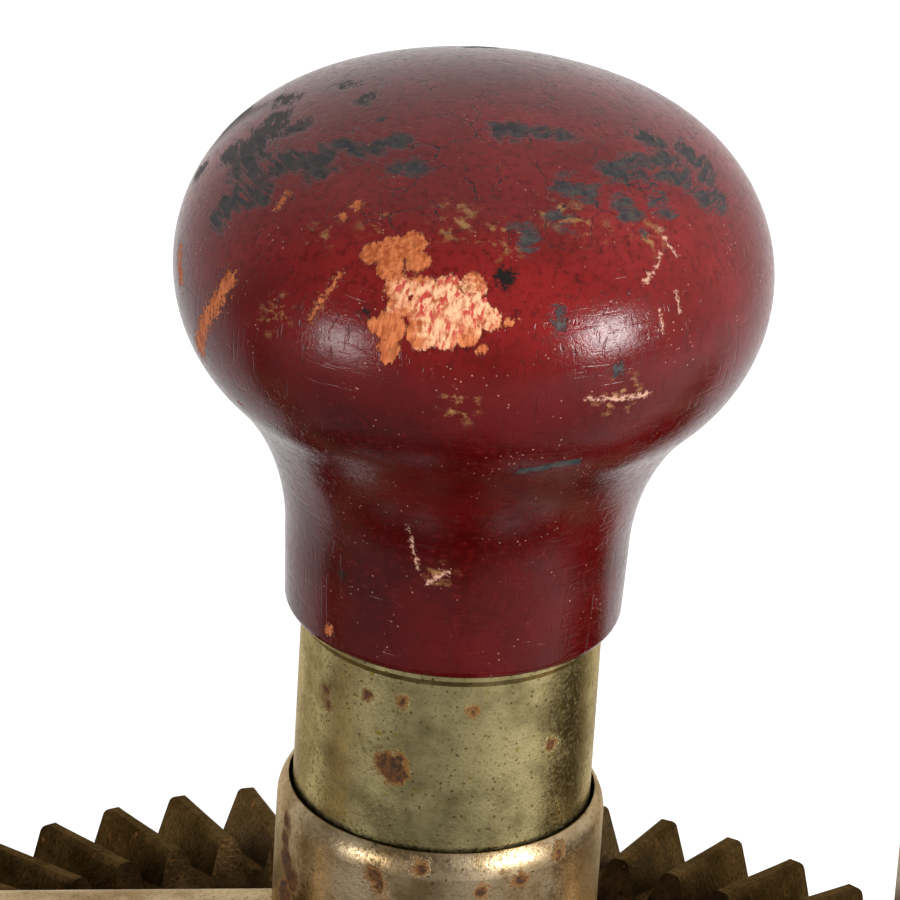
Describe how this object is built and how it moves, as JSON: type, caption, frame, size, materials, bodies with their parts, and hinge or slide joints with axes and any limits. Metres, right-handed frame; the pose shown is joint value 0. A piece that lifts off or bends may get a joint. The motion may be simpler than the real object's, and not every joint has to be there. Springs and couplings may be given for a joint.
{
  "type": "hand crank drill",
  "caption": "Hand-crank drill with a bevel gear, a red turned side knob in a plated ferrule, a straight wooden handle and a keyless chuck.",
  "frame": {"origin": "on the spindle axis at the middle of the chuck jaws' grip", "axes": "+X along the spindle out of the chuck, +Z along the gear axis towards the side knob, +Y completes the right-handed set"},
  "size_m": [0.3114, 0.1362, 0.1263],
  "materials": {
    "worn_nickel": "worn nickel plate with rust specks",
    "red_lacquered_wood": "old maroon lacquer, chipped to bare wood",
    "ferrule_plate": "tarnished plate, satin",
    "gear_iron": "oily brown iron",
    "chuck_nickel": "worn nickel plate",
    "bright_steel": "plain turned steel"
  },
  "bodies": {
    "frame": {"frame": "worn_nickel", "gear_stud": "bright_steel", "gear_washer": "bright_steel", "axle_washer": "worn_nickel", "axle_screw": "worn_nickel", "side_knob": "red_lacquered_wood", "side_knob_ferrule": "ferrule_plate", "side_knob_stud": "bright_steel", "main_handle": "red_lacquered_wood", "main_handle_ferrule": "ferrule_plate", "handle_pin": "bright_steel", "thrust_race_upper": "bright_steel"},
    "gear_and_crank": {"drive_gear": "gear_iron", "crank_arm": "worn_nickel", "crank_set_screw": "bright_steel", "crank_pin": "bright_steel", "crank_knob_washer": "bright_steel"},
    "crank_knob": {"crank_knob": "red_lacquered_wood"},
    "spindle": {"spindle": "bright_steel", "pinion": "gear_iron", "pinion_pin": "bright_steel", "thrust_race_lower": "bright_steel", "thrust_balls": "bright_steel", "chuck_body": "chuck_nickel"},
    "chuck_sleeve": {"chuck_sleeve": "chuck_nickel", "chuck_nut": "bright_steel"},
    "jaw_1": {"chuck_jaw_1": "bright_steel"},
    "jaw_2": {"chuck_jaw_2": "bright_steel"},
    "jaw_3": {"chuck_jaw_3": "bright_steel"}
  },
  "joints": [
    {"name": "gear_spin", "type": "hinge", "parent": "frame", "child": "gear_and_crank", "pos_m": [-0.1105, 0, 0], "axis": [0, 0, 1], "continuous": true},
    {"name": "spindle_spin", "type": "hinge", "parent": "frame", "child": "spindle", "pos_m": [0, 0, 0], "axis": [1, 0, 0], "continuous": true},
    {"name": "crank_knob_spin", "type": "hinge", "parent": "gear_and_crank", "child": "crank_knob", "pos_m": [-0.1105, -0.076, -0.042], "axis": [0, 0, 1], "continuous": true},
    {"name": "sleeve_spin", "type": "hinge", "parent": "spindle", "child": "chuck_sleeve", "pos_m": [0, 0, 0], "axis": [1, 0, 0], "range_deg": [-216, 990]},
    {"name": "jaw_1_slide", "type": "slide", "parent": "spindle", "child": "jaw_1", "axis": [0.9701, 0, -0.2426], "range_m": [-0.00121, 0.00551]},
    {"name": "jaw_2_slide", "type": "slide", "parent": "spindle", "child": "jaw_2", "axis": [0.9701, 0.2101, 0.1213], "range_m": [-0.00121, 0.00551]},
    {"name": "jaw_3_slide", "type": "slide", "parent": "spindle", "child": "jaw_3", "axis": [0.9701, -0.2101, 0.1213], "range_m": [-0.00121, 0.00551]}
  ],
  "couplings": [
    {"joint": "spindle_spin", "follows": "gear_spin", "ratio": 4},
    {"joint": "jaw_1_slide", "follows": "sleeve_spin", "m_per_rad": 0.00031831},
    {"joint": "jaw_2_slide", "follows": "sleeve_spin", "m_per_rad": 0.00031831},
    {"joint": "jaw_3_slide", "follows": "sleeve_spin", "m_per_rad": 0.00031831}
  ]
}
